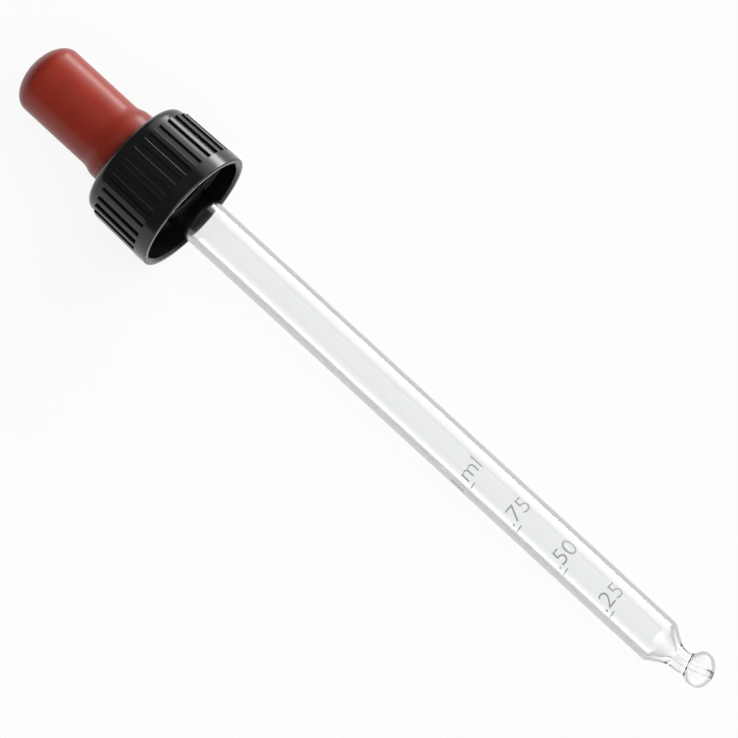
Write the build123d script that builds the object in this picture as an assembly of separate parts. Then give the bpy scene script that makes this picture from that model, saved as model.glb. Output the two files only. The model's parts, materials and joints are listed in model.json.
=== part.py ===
from build123d import *
import math
import os

# A three-piece laboratory dropper for an 18-400 bottle: a soft rubber bulb, a ribbed screw cap
# and a graduated glass tube with a bent ball tip. Every size is in millimetres.
# Each piece is modelled about the local Z axis, with zero at the cap's open rim and +Z towards
# the tip. At the end the dropper is laid on its side, tip towards +X, where it rests on the
# cap's skirt and on the tube's shoulder.

# ---- Graduated tube ----
tube_od = 7.0
tube_wall = 0.54  # gives 0.25 ml for every 9.08 mm of bore
tube_end_round = 0.2  # fire-polished end inside the bulb
tube_reach = 91.9  # cap's rim to the start of the taper
tube_stand = 5.0  # how far the tube stands above the cap's top, inside the bulb
shoulder_round = 1.2
taper_angle = 32.5  # degrees off the axis
taper_foot_round = 2.8  # where the taper runs into the neck
bore_close_early = 0.1  # the bore starts to close this far before the outside does
neck_od = 3.3
neck_straight = 0.85  # taper's end to the start of the bend
channel_d = 1.1
bend_radius = 3.0
bend_angle = 18.0
ball_stem = 0.7  # end of the bend to the ball's root, along the bent axis
ball_across = 5.5
ball_along = 4.2
ball_root_round = 1.3
orifice_round = 0.3  # softened lip where the channel leaves the ball

# ---- Screw cap ----
cap_height = 12.5
cap_top_wall = 1.2
neck_space_d = 17.96  # clears the outside of an 18-400 bottle thread
cap_wall = 0.63  # between the ribs, where they run into the skirt
seat_step = 0.53  # the inside narrows by this around the bulb's flange
cap_draft = 1.5  # degrees; the outside widens towards the open rim
cap_top_round = 1.3
shoulder_band = 1.55  # smooth band above the grip ribs
skirt_band = 2.2  # smooth band below the grip ribs
skirt_proud = 0.08  # the skirt stands out past the ribs
rim_round = 0.25
rim_lead = 0.35  # chamfer that guides the bottle's neck in
rib_count = 30
cap_turn = 1.7  # degrees; how far the cap is turned on the bulb's neck
rib_width = 1.02
rib_height = 0.34
rib_crest_round = 0.2
rib_root = 0.25  # how deep a rib is rooted in the wall and in the skirt

# ---- Rubber bulb ----
bulb_od = 11.0
bulb_wall = 1.5
bulb_length = 19.4  # cap's top to the closed end
bulb_end_depth = 3.3  # depth of the elliptical closed end
flare_length = 2.5  # a smooth double curve from the side to the neck
flare_start = 2.0  # straight neck above the cap's top
neck_step = 0.5  # how far the bulb's neck stands out past its side
flange_thickness = 1.4
flange_round = 0.3
grip_beyond = 1.0  # the gripping bore goes on this far past the tube's end

# ---- Clearances ----
neck_in_hole = 0.05  # bulb's neck in the hole in the cap's top, radial
flange_in_cap = 0.35  # bulb's flange to the cap's wall, radial
tube_in_bulb = 0.0  # the bulb grips the tube line to line

# ---- Worked out from the sizes above ----
tube_r = tube_od / 2
bore_r = tube_r - tube_wall
neck_r = neck_od / 2
channel_r = channel_d / 2
taper_slope = math.radians(taper_angle)
taper_end = tube_reach + (tube_r - neck_r) / math.tan(taper_slope)
bend_start = taper_end + neck_straight
cap_top = -cap_height
seat = cap_top + cap_top_wall  # underside of the cap's top, where the flange bears
tube_top = cap_top - tube_stand
rib_start = cap_top + shoulder_band
rib_end = -skirt_band
wall_foot_r = neck_space_d / 2 + cap_wall
skirt_r = wall_foot_r + rib_height + skirt_proud
recess_r = neck_space_d / 2 - seat_step
flange_r = recess_r - flange_in_cap
flange_face = seat + flange_thickness  # seals on the bottle's lip
bulb_r = bulb_od / 2
bulb_neck_r = bulb_r + neck_step
bulb_end = cap_top - bulb_length


def lathe(*edges):
    """Solid of revolution about Z from edges drawn as (radius, z)."""
    return revolve(Plane.XZ * make_face(edges), Axis.Z)


def rounded(solid, radius, *spots):
    """Rounds the circular edges of a turned solid that pass through the (radius, z) spots."""
    for r, z in spots:
        on_circle = [Vector(r, 0, z), Vector(0, r, z)]
        edge = min(solid.edges(), key=lambda e: sum(e.distance_to(spot) for spot in on_circle))
        solid = fillet(edge, radius)
    return solid


def closed_end(radius, depth, end):
    """Quarter ellipse from the axis at the bulb's closed end to its side."""
    return EllipticalCenterArc((0, end + depth), radius, depth, start_angle=-90, arc_size=90)


# ---- Screw cap ----


def cap_wall_r(z):
    """Outer radius of the cap's drafted wall, between the ribs."""
    return wall_foot_r + (z - rib_end) * math.tan(math.radians(cap_draft))


def cap_shell():
    """Top plate, drafted wall, skirt and the space for the bottle's neck, before the ribs."""
    hole_r = bulb_neck_r + neck_in_hole
    space_r = neck_space_d / 2
    recess_end = flange_face + flange_in_cap
    shell = lathe(
        Polyline(
            (hole_r, cap_top),
            (cap_wall_r(cap_top), cap_top),
            (cap_wall_r(rib_end), rib_end),
            (skirt_r, rib_end),
            (skirt_r, 0),
            (space_r + rim_lead, 0),
            (space_r, -rim_lead),
            (space_r, recess_end + seat_step),
            (recess_r, recess_end),
            (recess_r, seat),
            (hole_r, seat),
            close=True,
        )
    )
    shell = rounded(shell, cap_top_round, (cap_wall_r(cap_top), cap_top))
    return rounded(shell, rim_round, (skirt_r, 0))


def grip_rib():
    """One grip rib: a round-shouldered bar that follows the draft, with a bullet-shaped end."""
    half = rib_width / 2
    outline = make_face(
        Polyline((-rib_root, -half), (rib_height, -half), (rib_height, half), (-rib_root, half), close=True)
    )
    section = fillet(outline.vertices().group_by(Axis.X)[-1], rib_crest_round)
    half_section = section & Pos(0, rib_width, 0) * Rectangle(4 * rib_height, 2 * rib_width)
    bar_start = rib_start + half
    bar = extrude(section, rib_end + rib_root - bar_start)
    nose = revolve(half_section, Axis.X, 180)
    on_wall = Pos(cap_wall_r(bar_start), 0, bar_start) * Rot(0, cap_draft, 0)
    return on_wall * (bar + nose)


def make_cap():
    pitch_angle = 360 / rib_count
    rib = grip_rib()
    ribs = [Rot(0, 0, cap_turn + i * pitch_angle) * rib for i in range(rib_count)]
    return cap_shell() + ribs


# ---- Rubber bulb ----


def make_bulb():
    """Teat with an elliptical end, a neck that flares into the cap and a flange under its top."""
    side_end = bulb_end + bulb_end_depth
    neck_end = cap_top - flare_start
    flare_end = neck_end - flare_length
    flare_middle = (bulb_r + neck_step / 2, neck_end - flare_length / 2)
    flare_radius = (flare_length**2 + neck_step**2) / (4 * neck_step)
    teat = lathe(
        closed_end(bulb_r, bulb_end_depth, bulb_end),
        Line((bulb_r, side_end), (bulb_r, flare_end)),
        RadiusArc((bulb_r, flare_end), flare_middle, flare_radius),
        RadiusArc(flare_middle, (bulb_neck_r, neck_end), -flare_radius),
        Polyline(
            (bulb_neck_r, neck_end),
            (bulb_neck_r, seat),
            (flange_r, seat),
            (flange_r, flange_face),
            (0, flange_face),
            (0, bulb_end),
        ),
    )
    teat = rounded(teat, flange_round, (flange_r, flange_face), (flange_r, seat))
    return teat - bulb_hollow()


def bulb_hollow():
    """Bore that grips the tube, and the air chamber above it."""
    grip_r = tube_r + tube_in_bulb
    chamber_r = bulb_r - bulb_wall
    chamber_depth = bulb_end_depth - bulb_wall
    chamber_end = bulb_end + bulb_wall
    chamber_start = tube_top - grip_beyond
    return lathe(
        closed_end(chamber_r, chamber_depth, chamber_end),
        Polyline(
            (chamber_r, chamber_end + chamber_depth),
            (chamber_r, chamber_start),
            (grip_r, chamber_start + abs(chamber_r - grip_r)),
            (grip_r, flange_face),
            (0, flange_face),
            (0, chamber_end),
        ),
    )


# ---- Graduated tube ----


def tube_body():
    """Straight tube with its bore, the taper and the first part of the neck."""
    body = lathe(
        Polyline(
            (bore_r, tube_top),
            (tube_r, tube_top),
            (tube_r, tube_reach),
            (neck_r, taper_end),
            (neck_r, bend_start),
            (channel_r, bend_start),
            (channel_r, taper_end),
            (bore_r, tube_reach - bore_close_early),
            close=True,
        )
    )
    body = rounded(body, tube_end_round, (tube_r, tube_top), (bore_r, tube_top))
    body = rounded(body, shoulder_round, (tube_r, tube_reach))
    return rounded(body, taper_foot_round, (neck_r, taper_end))


def neck_bend():
    """Hollow neck turned through the bend angle towards +Y."""
    section = Pos(0, 0, bend_start) * (Circle(neck_r) - Circle(channel_r))
    pivot = Axis((0, bend_radius, bend_start), (-1, 0, 0))
    return revolve(section, pivot, revolution_arc=bend_angle)


def ball_tip():
    """Fire-polished ball on the end of the neck, with the channel and its softened mouth."""
    semi_along = ball_along / 2
    semi_across = ball_across / 2
    ball_reach = ball_stem + semi_along * math.sqrt(1 - (neck_r / semi_across) ** 2)
    ball = lathe(
        EllipticalCenterArc((0, ball_reach), semi_across, semi_along, start_angle=-90, arc_size=180),
        Line((0, ball_reach + semi_along), (0, ball_reach - semi_along)),
    )
    stem = Cylinder(neck_r, ball_reach, align=(Align.CENTER, Align.CENTER, Align.MIN))
    mouth = ball_reach + semi_along * math.sqrt(1 - (channel_r / semi_across) ** 2)
    tip = rounded(stem + ball, ball_root_round, (neck_r, ball_stem))
    tip -= Cylinder(channel_r, 2 * (ball_reach + ball_along))
    tip = rounded(tip, orifice_round, (channel_r, mouth))
    turn = math.radians(bend_angle)
    sideways = bend_radius * (1 - math.cos(turn))
    forwards = bend_start + bend_radius * math.sin(turn)
    return Pos(0, sideways, forwards) * Rot(-bend_angle, 0, 0) * tip


def make_tube():
    return tube_body() + neck_bend() + ball_tip()


# ---- Rest on the bench ----


def lay_down(pieces):
    """Turns the dropper on its side, touching the bench with the cap's rim and the shoulder."""
    rim_centre_r = skirt_r - rim_round
    rim_centre_z = -rim_round
    shoulder_centre_r = tube_r - shoulder_round
    shoulder_centre_z = tube_reach - shoulder_round * math.tan(taper_slope / 2)
    drop = rim_centre_r - shoulder_centre_r
    span = shoulder_centre_z - rim_centre_z
    pitch = math.atan2(drop, span)
    pitch -= math.asin((shoulder_round - rim_round) / math.hypot(drop, span))
    height = rim_centre_r * math.cos(pitch) + rim_centre_z * math.sin(pitch) + rim_round
    lying = Pos(0, 0, height) * Rot(0, 90 + math.degrees(pitch), 0)
    laid = {name: lying * piece for name, piece in pieces.items()}
    middle = Compound(list(laid.values())).bounding_box().center()
    return {name: Pos(-middle.X, -middle.Y, 0) * piece for name, piece in laid.items()}


pieces = lay_down(
    {
        "rubber_bulb": make_bulb(),
        "screw_cap": make_cap(),
        "graduated_tube": make_tube(),
    }
)
os.makedirs("parts", exist_ok=True)
for name, piece in pieces.items():
    export_step(piece, f"parts/{name}.step")
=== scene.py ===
"""Finish, light and camera for a laboratory dropper that lies on a pale bench.

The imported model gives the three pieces: a rubber bulb, a ribbed screw cap and a graduated tube.
This script gives them their materials, adds the neck thread inside the cap and the printed
scale on the tube, and sets up the floor, the room's light and the camera. Lengths are in metres.
"""

import json
import math

import bmesh
import bpy
from mathutils import Matrix, Vector


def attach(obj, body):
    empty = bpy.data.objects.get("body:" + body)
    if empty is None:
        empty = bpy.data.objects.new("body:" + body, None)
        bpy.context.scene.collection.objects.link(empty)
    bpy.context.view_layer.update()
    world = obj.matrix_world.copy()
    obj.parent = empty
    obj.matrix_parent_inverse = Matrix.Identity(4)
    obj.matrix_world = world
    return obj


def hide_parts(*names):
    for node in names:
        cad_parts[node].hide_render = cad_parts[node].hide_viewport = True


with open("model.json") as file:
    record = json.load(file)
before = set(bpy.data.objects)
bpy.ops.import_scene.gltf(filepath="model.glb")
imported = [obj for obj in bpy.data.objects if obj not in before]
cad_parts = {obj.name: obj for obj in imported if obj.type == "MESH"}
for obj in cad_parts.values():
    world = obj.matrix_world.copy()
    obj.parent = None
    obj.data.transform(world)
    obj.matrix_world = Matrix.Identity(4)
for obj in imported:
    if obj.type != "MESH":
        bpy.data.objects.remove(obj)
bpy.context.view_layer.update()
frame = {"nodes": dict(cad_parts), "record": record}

MM = 0.001

# ---- Places read from the frame ----
mounts = {mount["name"]: mount for mount in frame["record"]["mounts"]}
rim = Vector(mounts["neck_thread"]["pos_m"])  # centre of the cap's open rim
axis = Vector(mounts["neck_thread"]["axis"]).normalized()  # from the rim towards the tip
across = Vector((0, 1, 0))
# Local frame of the dropper: Z runs from the cap's rim to the tip, Y is the bench's Y.
DROPPER = Matrix.Translation(rim) @ Matrix(
    [(*column,) for column in (across.cross(axis), across, axis)]
).transposed().to_4x4()

# ---- Sizes ----
TUBE_R = 3.5 * MM
BORE_R = 2.96 * MM
TUBE_TOP = -17.5 * MM  # end inside the bulb
TUBE_END_ROUND = 0.2 * MM
TUBE_REACH = 91.9 * MM  # cap's rim to the start of the taper
SHOULDER_ROUND = 1.2 * MM
TAPER_ANGLE = math.radians(32.5)  # off the axis
TAPER_FOOT_ROUND = 2.8 * MM
BORE_CLOSE_EARLY = 0.1 * MM
BORE_CLOSE_ROUND = 1.0 * MM
NECK_R = 1.65 * MM
TAPER_LENGTH = (TUBE_R - NECK_R) / math.tan(TAPER_ANGLE)
NECK_STRAIGHT = 0.85 * MM
CHANNEL_R = 0.55 * MM
CHANNEL_ROUND = 0.8 * MM
BEND_RADIUS = 3.0 * MM
BEND_ANGLE = math.radians(18)
BALL_STEM = 0.7 * MM  # end of the bend to the ball's root
BALL_ACROSS = 2.75 * MM  # half of its width
BALL_ALONG = 2.1 * MM  # half of its length
BALL_REACH = BALL_STEM + BALL_ALONG * math.sqrt(1 - (NECK_R / BALL_ACROSS) ** 2)
BALL_ROOT_ROUND = 1.3 * MM
ORIFICE_ROUND = 0.3 * MM

NECK_SPACE_R = mounts["neck_thread"]["dims"]["r_mm"] * MM
THREAD_DEPTH = 0.93 * MM
THREAD_PITCH = 3.175 * MM
THREAD_TURNS = 1.75
THREAD_FADE = 0.14  # of a turn at each end
THREAD_FOOT = 1.75 * MM
THREAD_CREST = 0.75 * MM
THREAD_FROM_RIM = 1.9 * MM
THREAD_ROOTED = 0.05 * MM  # sunk into the wall
THREAD_ROUND = 0.15 * MM  # on the crest
THREAD_SHARP = math.radians(40)  # edges that turn by more than this look sharp

PRINT_R = TUBE_R + 0.015 * MM  # the ink stands proud of the glass
INK_THICK = 0.025 * MM  # and is fired a little way into it
PRINT_HEIGHT = 2.4 * MM
PRINT_WIDEN = 1.05
PRINT_SPACING = 0.97
PRINT_THIN = 0.012  # strokes drawn in by this share of the type size
FIGURE_SHARE = 0.67  # height of a figure over the type size
# Each label's middle in mm from the rim, and its right end in degrees from the top towards +Y.
PRINT_LABELS = {
    "1 ml": (55.54, 8.0),
    ".75": (64.69, 15.5),
    ".50": (73.81, 15.5),
    ".25": (82.9, 15.5),
}
PRINT_EDGE = 0.3 * MM  # longest edge left in a figure, so that it wraps round the tube
TICK_AHEAD = 1.92 * MM  # from a label's middle
TICK_SPAN = (-60.0, -38.0)  # degrees
TICK_WIDTH = 0.18 * MM

CAMERA_AZIMUTH = -45.94  # degrees from +X, seen from above
CAMERA_ELEVATION = 65.2
CAMERA_DISTANCE = 2.32
VIEW_WIDTH = 104.46 * MM  # what the picture shows across, at the dropper
AIM_OFFSET = Vector((34.98, -0.37, 0.25)) * MM  # from the middle of the cap's rim

# The room is the same for every ray. Its lights fade by angle from their middle, given as
# (degrees, share of the power): a window low on the +Y side and a soft light past the tip.
WINDOW_AT = (90.0, 6.0)  # azimuth and elevation
WINDOW_POWER = 16.0
WINDOW_FALL = [(180, 0.0), (50, 0.0), (40, 0.06), (19, 0.12), (9, 1.0)]
SOFT_AT = (0.0, 50.0)
SOFT_POWER = 2.5
SOFT_FALL = [(180, 0.0), (47, 0.0), (32, 0.7), (15, 1.0)]
ROOM_LEVEL = 0.15
FLOOR_SIZE = 4.0  # half of its width
FLOOR_COLOUR = (0.8, 0.8, 0.8)
FLOOR_WHITE = 0.88  # how far what is seen of the floor is lifted to white

# Painted shade on the glass: it is clear face on and greys as it turns away, in place of the dark
# surroundings its edges would show: (1 - cosine of the slant, level).
GLASS_EDGE_SHADE = [(0.0, 1.0), (0.36, 0.94), (0.43, 0.78), (0.5, 0.42), (0.65, 0.3), (1.0, 0.55)]
GLASS_HUE = (0.985, 0.993, 1.0)
GLASS_SHADOW = (0.9, 0.92, 0.92)  # what the glass lets through to its shadow
DRAW_LINES = 0.04  # how much the draw lines shift the glass's grey, the painted edge shade
DRAW_SCALE = (30, 900, 900)  # noise cells per metre: long along the tube, fine across

# Darkest and lightest colour of each material's mottling, and its smoothest and roughest gloss.
RUBBER_COLOURS = ((0.235, 0.0195, 0.009), (0.285, 0.0245, 0.0115))
RUBBER_ROUGHNESS = (0.29, 0.35)
BLACK_COLOURS = ((0.0022, 0.0019, 0.0021), (0.0036, 0.0032, 0.0034))
BLACK_ROUGHNESS = (0.14, 0.24)
INK_COLOURS = ((0.34, 0.34, 0.35), (0.44, 0.44, 0.45))
BUMP_DEPTH = 0.1 * MM

# ---- Helpers ----


def direction(azimuth, elevation):
    a, e = math.radians(azimuth), math.radians(elevation)
    return Vector((math.cos(e) * math.cos(a), math.cos(e) * math.sin(a), math.sin(e)))


def aim(obj, target):
    obj.rotation_euler = (target - obj.location).to_track_quat("-Z", "Y").to_euler()


def new_material(name):
    """A material with nodes, its tree and its Principled shader."""
    material = bpy.data.materials.new(name)
    material.use_nodes = True
    tree = material.node_tree
    return material, tree, tree.nodes["Principled BSDF"]


def link(tree, source, target):
    tree.links.new(source, target)


def node(tree, kind, **values):
    """A new node with its inputs and settings given by name."""
    made = tree.nodes.new(kind)
    for key, value in values.items():
        if key in made.inputs:
            made.inputs[key].default_value = value
        else:
            setattr(made, key, value)
    return made


def mesh_object(name, bm, smooth=True):
    mesh = bpy.data.meshes.new(name)
    bmesh.ops.recalc_face_normals(bm, faces=bm.faces)
    bm.to_mesh(mesh)
    bm.free()
    for polygon in mesh.polygons:
        polygon.use_smooth = smooth
    obj = bpy.data.objects.new(name, mesh)
    bpy.context.scene.collection.objects.link(obj)
    return obj


# ---- Camera ----


def make_camera():
    data = bpy.data.cameras.new("camera")
    data.sensor_width = 36.0
    data.lens = data.sensor_width * CAMERA_DISTANCE / VIEW_WIDTH
    data.clip_end = 20.0
    camera = bpy.data.objects.new("camera", data)
    bpy.context.scene.collection.objects.link(camera)
    target = rim + AIM_OFFSET
    camera.location = target + direction(CAMERA_AZIMUTH, CAMERA_ELEVATION) * CAMERA_DISTANCE
    aim(camera, target)
    bpy.context.scene.camera = camera


# ---- Floor and room ----


def fill_ramp(ramp, stops):
    """Gives a colour ramp its stops, as (position, (red, green, blue)) in rising order."""
    steps = ramp.color_ramp.elements
    while len(steps) < len(stops):
        steps.new(1.0)
    for step, (position, colour) in zip(steps, stops):
        step.position = position
        step.color = (*colour, 1)


def graded(tree, value, stops, low, high):
    """A smooth grey ramp over low to high, with stops as (value, level); levels may pass 1."""
    top = max(level for _, level in stops)
    share = node(tree, "ShaderNodeMapRange")
    share.inputs["From Min"].default_value = low
    share.inputs["From Max"].default_value = high
    link(tree, value, share.inputs["Value"])
    ramp = node(tree, "ShaderNodeValToRGB")
    ramp.color_ramp.interpolation = "EASE"
    colours = [(place - low, (level / top,) * 3) for place, level in stops]
    fill_ramp(ramp, [(place / (high - low), colour) for place, colour in colours])
    link(tree, share.outputs["Result"], ramp.inputs["Fac"])
    return scaled(tree, ramp.outputs["Color"], top)


def scaled(tree, value, factor):
    product = node(tree, "ShaderNodeMath", operation="MULTIPLY")
    link(tree, value, product.inputs[0])
    product.inputs[1].default_value = factor
    return product.outputs[0]


def math_of(tree, operation, a, b):
    made = node(tree, "ShaderNodeMath", operation=operation)
    link(tree, a, made.inputs[0])
    link(tree, b, made.inputs[1])
    return made.outputs[0]


def make_floor():
    """Pale paper that eyes, gloss and glass see lifted towards white; its shadows stay."""
    bm = bmesh.new()
    bmesh.ops.create_grid(bm, x_segments=1, y_segments=1, size=FLOOR_SIZE)
    floor = mesh_object("floor", bm, smooth=False)
    material, tree, shader = new_material("floor_paper")
    shader.inputs["Base Color"].default_value = (*FLOOR_COLOUR, 1)
    shader.inputs["Roughness"].default_value = 0.9
    shader.inputs["Specular IOR Level"].default_value = 0.0
    rays = node(tree, "ShaderNodeLightPath").outputs
    seen = math_of(tree, "MAXIMUM", rays["Is Camera Ray"], rays["Is Glossy Ray"])
    seen = math_of(tree, "MAXIMUM", seen, rays["Is Transmission Ray"])
    white = node(tree, "ShaderNodeEmission")
    mix = node(tree, "ShaderNodeMixShader")
    link(tree, scaled(tree, seen, FLOOR_WHITE), mix.inputs["Fac"])
    link(tree, shader.outputs[0], mix.inputs[1])
    link(tree, white.outputs[0], mix.inputs[2])
    link(tree, mix.outputs[0], tree.nodes["Material Output"].inputs["Surface"])
    floor.data.materials.append(material)


def glow(tree, coordinates, towards, fall, power):
    """Light of the room by angle from a direction, as an output of the node tree."""
    angle = node(tree, "ShaderNodeVectorMath", operation="DOT_PRODUCT")
    angle.inputs[1].default_value = towards
    link(tree, coordinates.outputs["Generated"], angle.inputs[0])
    stops = [(math.cos(math.radians(degrees)), level) for degrees, level in fall]
    return scaled(tree, graded(tree, angle.outputs["Value"], stops, -1, 1), power)


def make_world():
    """A dim room with a window and a soft light; eye, gloss and glass all see the same one."""
    world = bpy.data.worlds.new("studio")
    world.use_nodes = True
    tree = world.node_tree
    room = tree.nodes["Background"]
    room.inputs["Color"].default_value = (1, 1, 1, 1)
    coordinates = node(tree, "ShaderNodeTexCoord")
    window = glow(tree, coordinates, direction(*WINDOW_AT), WINDOW_FALL, WINDOW_POWER)
    soft = glow(tree, coordinates, direction(*SOFT_AT), SOFT_FALL, SOFT_POWER)
    lit = math_of(tree, "ADD", window, soft)
    level = node(tree, "ShaderNodeMath", operation="ADD")
    link(tree, lit, level.inputs[0])
    level.inputs[1].default_value = ROOM_LEVEL
    link(tree, level.outputs[0], room.inputs["Strength"])
    bpy.context.scene.world = world


# ---- Materials ----


def noise(tree, vector, **values):
    made = node(tree, "ShaderNodeTexNoise", **values)
    link(tree, vector, made.inputs["Vector"])
    return made.outputs["Fac"]


def object_place(tree):
    return node(tree, "ShaderNodeTexCoord").outputs["Object"]


def mottle(tree, shader, value, colours, between=(0.0, 1.0)):
    """Colours the surface between a dark and a light tone."""
    ramp = node(tree, "ShaderNodeValToRGB")
    fill_ramp(ramp, list(zip(between, colours)))
    link(tree, value, ramp.inputs["Fac"])
    link(tree, ramp.outputs["Color"], shader.inputs["Base Color"])


def vary_roughness(tree, shader, value, smoothest, roughest):
    share = node(tree, "ShaderNodeMapRange")
    share.inputs["To Min"].default_value = smoothest
    share.inputs["To Max"].default_value = roughest
    link(tree, value, share.inputs["Value"])
    link(tree, share.outputs["Result"], shader.inputs["Roughness"])


def emboss(tree, shader, value, strength):
    bump = node(tree, "ShaderNodeBump", Strength=strength, Distance=BUMP_DEPTH)
    link(tree, value, bump.inputs["Height"])
    link(tree, bump.outputs["Normal"], shader.inputs["Normal"])


def rubber():
    """Brick-red rubber with a soft sheen, faintly mottled and grained."""
    material, tree, shader = new_material("red_rubber")
    place = object_place(tree)
    cloud = noise(tree, place, Scale=260.0, Detail=5.0, Roughness=0.55)
    shader.inputs["Specular IOR Level"].default_value = 0.34
    mottle(tree, shader, cloud, RUBBER_COLOURS, between=(0.3, 0.75))
    vary_roughness(tree, shader, cloud, *RUBBER_ROUGHNESS)
    emboss(tree, shader, noise(tree, place, Scale=2600.0, Detail=3.0), 0.08)
    return material


def black_plastic():
    """Glossy black moulded plastic with faint flow marks."""
    material, tree, shader = new_material("black_plastic")
    flow = noise(tree, object_place(tree), Scale=420.0, Detail=4.0)
    shader.inputs["Specular IOR Level"].default_value = 0.5
    mottle(tree, shader, flow, BLACK_COLOURS)
    vary_roughness(tree, shader, flow, *BLACK_ROUGHNESS)
    emboss(tree, shader, flow, 0.05)
    return material


def clear_glass():
    """Clear drawn glass with painted shade: greyer where it is seen at a slant, with faint draw
    lines along it.
    """
    material, tree, shader = new_material("clear_glass")
    drawn = node(tree, "ShaderNodeMapping")
    drawn.inputs["Scale"].default_value = DRAW_SCALE
    link(tree, object_place(tree), drawn.inputs["Vector"])
    lines = noise(tree, drawn.outputs["Vector"], Scale=1.0, Detail=2.0)
    slant = node(tree, "ShaderNodeLayerWeight", Blend=0.5)
    uneven = node(tree, "ShaderNodeMath", operation="MULTIPLY_ADD")
    link(tree, lines, uneven.inputs[0])
    uneven.inputs[1].default_value = DRAW_LINES
    link(tree, slant.outputs["Facing"], uneven.inputs[2])
    # Painted shade: the glass's colour greys by how far its surface turns from the eye, in place of
    # the dark surroundings its edges would show.
    edge_shade = node(tree, "ShaderNodeValToRGB")
    fill_ramp(edge_shade, [(turned, [part * level for part in GLASS_HUE]) for turned, level in GLASS_EDGE_SHADE])
    link(tree, uneven.outputs[0], edge_shade.inputs["Fac"])
    link(tree, edge_shade.outputs["Color"], shader.inputs["Base Color"])
    shader.inputs["Transmission Weight"].default_value = 1.0
    shader.inputs["IOR"].default_value = 1.5
    shader.inputs["Roughness"].default_value = 0.0
    rays = node(tree, "ShaderNodeLightPath")
    clear = node(tree, "ShaderNodeBsdfTransparent", Color=(*GLASS_SHADOW, 1))
    mix = node(tree, "ShaderNodeMixShader")
    link(tree, rays.outputs["Is Shadow Ray"], mix.inputs["Fac"])
    link(tree, shader.outputs[0], mix.inputs[1])
    link(tree, clear.outputs[0], mix.inputs[2])
    link(tree, mix.outputs[0], tree.nodes["Material Output"].inputs["Surface"])
    return material


def grey_ink():
    """Fired-on grey ink of the volume scale, slightly worn."""
    material, tree, shader = new_material("grey_ink")
    wear = noise(tree, object_place(tree), Scale=2500.0, Detail=2.0)
    mottle(tree, shader, wear, INK_COLOURS)
    shader.inputs["Roughness"].default_value = 0.5
    return material


def dress(name, material):
    obj = frame["nodes"][name]
    for slot in obj.material_slots:
        slot.material = material


# ---- Arcs and bars ----


def sweep_arc(centre, start, end, steps):
    """Points of the short arc from start to end about the centre."""
    a, b = start - centre, end - centre
    turn = -a.angle_signed(b)
    return [centre + Matrix.Rotation(turn * i / steps, 2) @ a for i in range(steps + 1)]


def rounded(before, at, after, radius, steps=8):
    """Points of the arc that rounds the corner at, between the points before and after it."""
    a = (Vector(before) - Vector(at)).normalized()
    b = (Vector(after) - Vector(at)).normalized()
    half = a.angle(b) / 2
    centre = Vector(at) + (a + b).normalized() * radius / math.sin(half)
    start = Vector(at) + a * radius / math.tan(half) - centre
    end = Vector(at) + b * radius / math.tan(half) - centre
    return sweep_arc(centre, centre + start, centre + end, steps)


def close_bar(bm, rings):
    """Joins the rings of a bar by faces and closes its two ends."""
    for low, high in zip(rings, rings[1:]):
        for k in range(len(low)):
            n = (k + 1) % len(low)
            bm.faces.new((low[k], low[n], high[n], high[k]))
    bm.faces.new(rings[0])
    bm.faces.new(rings[-1])


# ---- Neck thread ----


def make_thread(material, steps_per_turn=72):
    """Right-handed ridge inside the cap; its height fades out at both ends."""
    steps = round(THREAD_TURNS * steps_per_turn)
    first_z = -THREAD_FROM_RIM - THREAD_TURNS * THREAD_PITCH
    root_r = NECK_SPACE_R + THREAD_ROOTED
    full = THREAD_DEPTH + THREAD_ROOTED
    # Corners of its section, as (how far in from the root, along the axis).
    foot = [(0, -THREAD_FOOT / 2), (0, THREAD_FOOT / 2)]
    crest = [(full, -THREAD_CREST / 2), (full, THREAD_CREST / 2)]
    section = [foot[0], *rounded(foot[0], *crest, THREAD_ROUND, steps=4)]
    section += [*rounded(*crest, foot[1], THREAD_ROUND, steps=4), foot[1]]
    bm = bmesh.new()
    rings = []
    for i in range(steps + 1):
        turn = i / steps_per_turn
        from_end = min(turn, THREAD_TURNS - turn) / THREAD_FADE
        fade = math.sin(min(1.0, from_end) * math.pi / 2)
        angle = 2 * math.pi * turn
        ring = []
        for inward, side in section:
            r = root_r - inward / full * (THREAD_DEPTH * fade + THREAD_ROOTED)
            z = first_z + turn * THREAD_PITCH + side
            point = DROPPER @ Vector((r * math.cos(angle), r * math.sin(angle), z))
            ring.append(bm.verts.new(point))
        rings.append(ring)
    close_bar(bm, rings)
    thread = mesh_object("neck_thread", bm)
    thread.data.set_sharp_from_angle(angle=THREAD_SHARP)
    thread.data.materials.append(material)
    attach(thread, "root")


# ---- Glass tube ----


def ball_arc(centre, steps=48):
    """The ball's side from the neck's root round to the channel's softened mouth."""

    def point(t):
        return Vector((centre - BALL_ALONG * math.cos(t), BALL_ACROSS * math.sin(t)))

    def normal(t):
        n = Vector((-math.cos(t) / BALL_ALONG, math.sin(t) / BALL_ACROSS))
        return n.normalized()

    def solve(low, high, offset, radius):
        """Angle on the ball where a circle of this offset centre touches the given radius."""
        for _ in range(60):
            middle_t = (low + high) / 2
            if (point(middle_t) + normal(middle_t) * offset).y < radius:
                low = middle_t
            else:
                high = middle_t
        return low

    root_t = solve(0.0, math.pi / 2, BALL_ROOT_ROUND, NECK_R + BALL_ROOT_ROUND)
    mouth_t = solve(math.pi, math.pi / 2, -ORIFICE_ROUND, CHANNEL_R + ORIFICE_ROUND)
    root_c = point(root_t) + normal(root_t) * BALL_ROOT_ROUND
    mouth_c = point(mouth_t) - normal(mouth_t) * ORIFICE_ROUND
    root = sweep_arc(root_c, Vector((root_c.x, NECK_R)), point(root_t), 10)
    ball = [point(root_t + (mouth_t - root_t) * i / steps) for i in range(1, steps)]
    mouth = sweep_arc(mouth_c, point(mouth_t), Vector((mouth_c.x, CHANNEL_R)), 8)
    return root + ball + mouth


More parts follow.
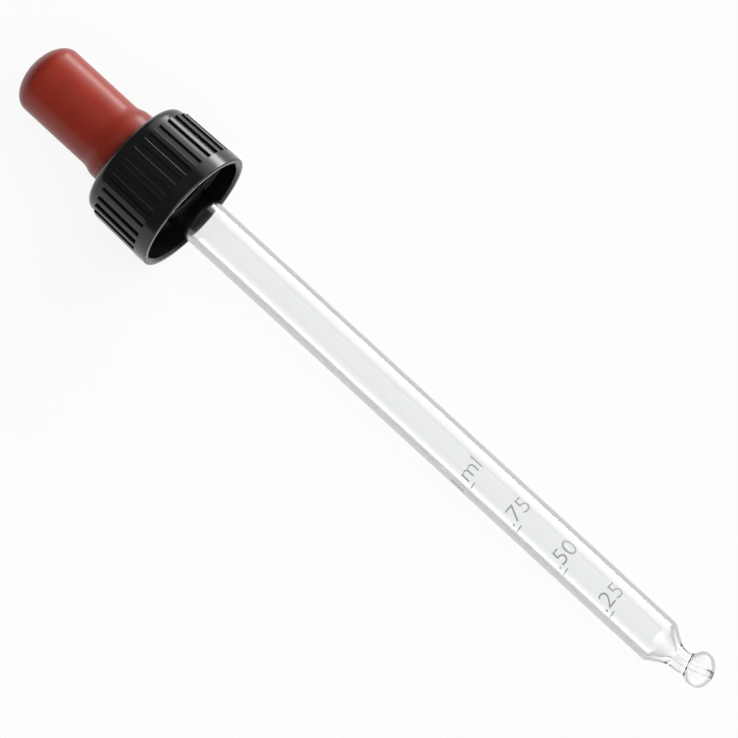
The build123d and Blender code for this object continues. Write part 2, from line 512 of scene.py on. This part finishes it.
def tube_profile(straight_rings=36, bend_rings=16):
    """Closed outline of the wall as (distance along the middle line, radius)."""
    taper_end = TUBE_REACH + TAPER_LENGTH
    bend_start = taper_end + NECK_STRAIGHT
    bend_end = bend_start + BEND_RADIUS * BEND_ANGLE
    close = TUBE_REACH - BORE_CLOSE_EARLY
    top_out, top_in = (TUBE_TOP, TUBE_R), (TUBE_TOP, BORE_R)
    shoulder, foot = (TUBE_REACH, TUBE_R), (taper_end, NECK_R)
    bore_shoulder, bore_foot = (close, BORE_R), (taper_end, CHANNEL_R)
    straight = [TUBE_TOP + (close - TUBE_TOP) * i / straight_rings for i in range(1, straight_rings)]
    bend = [bend_start + (bend_end - bend_start) * i / bend_rings for i in range(bend_rings + 1)]
    outline = rounded(top_in, top_out, shoulder, TUBE_END_ROUND)
    outline += [Vector((along, TUBE_R)) for along in straight]
    outline += rounded(top_out, shoulder, foot, SHOULDER_ROUND, 14)
    outline += rounded(shoulder, foot, (bend_end, NECK_R), TAPER_FOOT_ROUND, 14)
    outline += [Vector((along, NECK_R)) for along in bend]
    outline += ball_arc(bend_end + BALL_REACH)
    outline += [Vector((along, CHANNEL_R)) for along in reversed(bend)]
    outline += rounded((bend_start, CHANNEL_R), bore_foot, bore_shoulder, CHANNEL_ROUND, 10)
    outline += rounded(bore_foot, bore_shoulder, top_in, BORE_CLOSE_ROUND, 10)
    outline += [Vector((along, BORE_R)) for along in reversed(straight)]
    outline += rounded(bore_shoulder, top_in, top_out, TUBE_END_ROUND)
    return outline


def middle_line(along):
    """Place and direction of the tube's middle line, in the dropper's frame."""
    bend_start = TUBE_REACH + TAPER_LENGTH + NECK_STRAIGHT
    turn = min(max((along - bend_start) / BEND_RADIUS, 0.0), BEND_ANGLE)
    beyond = max(along - bend_start - BEND_RADIUS * BEND_ANGLE, 0.0)
    forward = Vector((0, math.sin(turn), math.cos(turn)))
    sideways = Vector((0, math.cos(turn), -math.sin(turn)))
    bent = Vector((0, 1 - math.cos(turn), math.sin(turn))) * BEND_RADIUS
    start = Vector((0, 0, min(along, bend_start)))
    return start + bent + forward * beyond, sideways


def make_tube(material, segments=280):
    """The glass drawn finely, so that it bends light cleanly."""
    bm = bmesh.new()
    rings = []
    for along, radius in tube_profile():
        place, sideways = middle_line(along)
        ring = []
        for k in range(segments):
            angle = 2 * math.pi * k / segments
            offset = Vector((math.cos(angle), 0, 0)) + sideways * math.sin(angle)
            ring.append(bm.verts.new(DROPPER @ (place + offset * radius)))
        rings.append(ring)
    for a, b in zip(rings, rings[1:] + rings[:1]):
        for k in range(segments):
            n = (k + 1) % segments
            bm.faces.new((a[k], a[n], b[n], b[k]))
    tube = mesh_object("glass_tube", bm)
    tube.data.materials.append(material)
    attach(tube, "root")
    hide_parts("graduated_tube")


# ---- Printed scale ----


def on_tube(turn, along, radius):
    """A point at a radius about the tube: turn from the top towards +Y, along from the rim."""
    return DROPPER @ Vector((-radius * math.cos(turn), radius * math.sin(turn), along))


def make_print(material):
    """The volume scale: thin figures that read across the tube, with a tick ahead of each."""
    bm = bmesh.new()
    for text, (along, right_end) in PRINT_LABELS.items():
        label = text_mesh(text)
        thicken(label)
        half = PRINT_HEIGHT / 2
        for vert in label.verts:
            turn = math.radians(right_end) + PRINT_WIDEN * vert.co.x / PRINT_R
            vert.co = on_tube(turn, along * MM + half - vert.co.y, PRINT_R + vert.co.z)
        merge(bm, label)
        merge(bm, tick_mesh(along * MM + TICK_AHEAD))
    scale = mesh_object("scale_print", bm, smooth=False)
    scale.data.materials.append(material)
    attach(scale, "root")


def merge(bm, other):
    """Adds another bmesh to this one and frees it."""
    mesh = bpy.data.meshes.new("part")
    other.to_mesh(mesh)
    other.free()
    bm.from_mesh(mesh)
    bpy.data.meshes.remove(mesh)


def text_mesh(text):
    """Flat figures of the print's height that end at x = 0, finely divided so that they wrap."""
    curve = bpy.data.curves.new(text, "FONT")
    curve.body = text
    curve.align_x = "RIGHT"
    curve.size = PRINT_HEIGHT / FIGURE_SHARE
    curve.offset = -PRINT_THIN * curve.size
    curve.space_character = PRINT_SPACING
    obj = bpy.data.objects.new("words", curve)
    bm = bmesh.new()
    bm.from_mesh(obj.to_mesh())
    bpy.data.objects.remove(obj)
    bmesh.ops.triangulate(bm, faces=bm.faces)
    for _ in range(4):
        long_edges = [edge for edge in bm.edges if edge.calc_length() > PRINT_EDGE]
        bmesh.ops.subdivide_edges(bm, edges=long_edges, cuts=1)
        bmesh.ops.triangulate(bm, faces=bm.faces)
    return bm


def thicken(bm):
    """Gives flat figures the ink's thickness, downwards."""
    made = bmesh.ops.extrude_face_region(bm, geom=bm.faces[:], use_keep_orig=True)
    for part in made["geom"]:
        if isinstance(part, bmesh.types.BMVert):
            part.co.z -= INK_THICK


def tick_mesh(along, steps=6):
    """One short line across the tube."""
    bm = bmesh.new()
    low, high = along - TICK_WIDTH / 2, along + TICK_WIDTH / 2
    under = PRINT_R - INK_THICK
    corners = [(low, PRINT_R), (high, PRINT_R), (high, under), (low, under)]
    rings = []
    for i in range(steps + 1):
        turn = math.radians(TICK_SPAN[0] + (TICK_SPAN[1] - TICK_SPAN[0]) * i / steps)
        rings.append([bm.verts.new(on_tube(turn, *corner)) for corner in corners])
    close_bar(bm, rings)
    return bm


make_camera()
make_floor()
make_world()
dress("rubber_bulb", rubber())
black = black_plastic()
dress("screw_cap", black)
make_thread(black)
make_tube(clear_glass())
make_print(grey_ink())

bpy.context.scene.view_settings.view_transform = "Standard"
